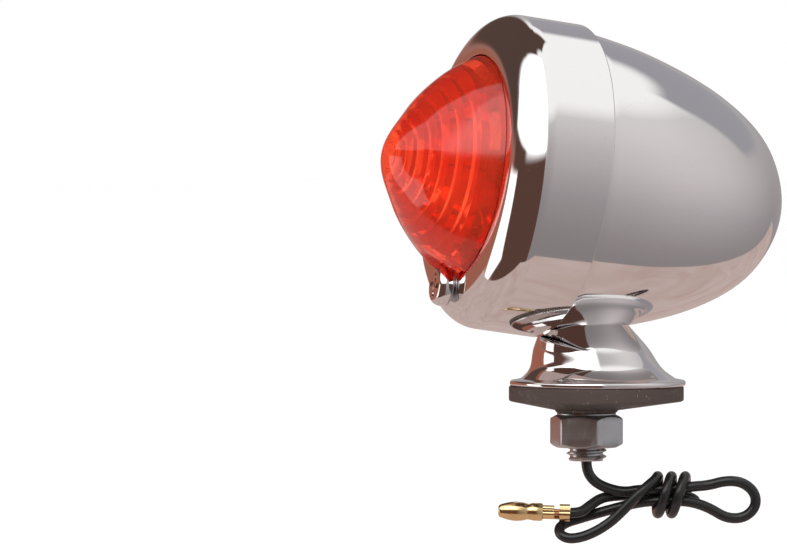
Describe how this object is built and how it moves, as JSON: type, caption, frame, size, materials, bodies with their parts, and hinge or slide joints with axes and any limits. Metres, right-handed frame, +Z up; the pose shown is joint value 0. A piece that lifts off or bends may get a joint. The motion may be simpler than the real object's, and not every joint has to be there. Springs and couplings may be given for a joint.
{
  "type": "motorcycle turn signal",
  "caption": "Chrome bullet-shaped motorcycle turn signal with a red lens, a rubber-padded pedestal on a hollow threaded stud, and a coiled wire lead.",
  "frame": {"origin": "on the mounting stud's axis, where the rubber pad's boss meets the vehicle's bracket", "axes": "+Z up along the stud towards the lamp; the lens faces -Y, tilted 8.2 degrees upward; +X to one side"},
  "size_m": [0.063, 0.0841, 0.1055],
  "materials": {
    "chrome_shell": "polished chrome plate on drawn steel",
    "chrome_bezel": "polished chrome plate on drawn steel",
    "chrome_base": "polished chrome plate on cast zinc",
    "chrome_screw": "chrome plate",
    "red_lens": "clear red acrylic with moulded rings, glossy",
    "black_rubber": "matt soft rubber",
    "pad_rubber": "moulded rubber, matt with dust",
    "zinc_sheet": "zinc plated steel sheet",
    "zinc_nut": "zinc plated steel",
    "zinc_stud": "zinc plated steel thread",
    "reflector_silver": "vacuum silvered steel",
    "fibre_board": "pressed fibre board",
    "brass_contact": "plain brass",
    "brass_bullet": "bright brass, stamped and rolled",
    "copper_strands": "bare copper strands",
    "spring_steel": "drawn spring wire",
    "clear_glass": "clear glass",
    "solder": "dull solder",
    "tungsten": "dark drawn wire",
    "lead_black": "satin black vinyl insulation"
  },
  "bodies": {
    "lamp": {"housing_shell": "chrome_shell", "pedestal": "chrome_base", "rubber_pad": "pad_rubber", "mounting_stud": "zinc_stud", "saddle_washer": "zinc_sheet", "socket_bracket": "zinc_sheet", "inner_nut": "zinc_nut", "socket_shell": "zinc_sheet", "reflector": "reflector_silver", "screw_tab": "zinc_sheet", "tab_nut": "zinc_nut", "inner_lead": "lead_black", "lead_drop": "lead_black", "lead_right_loop": "lead_black", "lead_left_loop": "lead_black", "lead_tail": "lead_black", "lead_wraps": "lead_black", "bullet_connector": "brass_bullet", "wire_strands": "copper_strands"},
    "bezel_unit": {"bezel": "chrome_bezel", "lens": "red_lens", "lens_gasket": "black_rubber", "lens_retainer": "zinc_sheet"},
    "screw_carrier": {"screw_washer": "black_rubber"},
    "screw": {"bezel_screw": "chrome_screw"},
    "nut_carrier": {"nut_washer": "zinc_nut"},
    "nut": {"stud_nut": "zinc_nut"},
    "bulb_carrier": {"contact_insulator": "fibre_board", "contact_rivet": "brass_contact", "contact_spring": "spring_steel"},
    "bulb": {"bulb_glass": "clear_glass", "bulb_base": "brass_contact", "bulb_contact": "solder", "glass_stem": "clear_glass", "filament_supports": "spring_steel", "filament": "tungsten"}
  },
  "joints": [
    {"name": "bezel_pull", "type": "slide", "parent": "lamp", "child": "bezel_unit", "axis": [0, -0.9898, 0.1426], "range_m": [0, 0.03]},
    {"name": "screw_travel", "type": "slide", "parent": "bezel_unit", "child": "screw_carrier", "axis": [0, -0.9898, 0.1426], "range_m": [0, 0.006]},
    {"name": "screw_turn", "type": "hinge", "parent": "screw_carrier", "child": "screw", "pos_m": [0, -0.00342, 0.02169], "axis": [0, -0.9898, 0.1426], "range_deg": [0, 3100]},
    {"name": "nut_travel", "type": "slide", "parent": "lamp", "child": "nut_carrier", "axis": [0, 0, -1], "range_m": [0, 0.0035]},
    {"name": "nut_turn", "type": "hinge", "parent": "nut_carrier", "child": "nut", "pos_m": [0, 0, 0], "axis": [0, 0, -1], "range_deg": [0, 1020]},
    {"name": "bulb_push", "type": "slide", "parent": "lamp", "child": "bulb_carrier", "axis": [0, 0.9898, -0.1426], "range_m": [0, 0.003], "stiffness_N_per_m": 1500, "springref_m": -0.003, "deforming": ["contact_spring"]},
    {"name": "bulb_turn", "type": "hinge", "parent": "bulb_carrier", "child": "bulb", "pos_m": [0, 0, 0.04544], "axis": [0, -0.9898, 0.1426], "range_deg": [0, 18]}
  ],
  "couplings": [
    {"joint": "screw_turn", "follows": "screw_travel", "rad_per_m": 8976},
    {"joint": "nut_turn", "follows": "nut_travel", "rad_per_m": 5026.5}
  ]
}
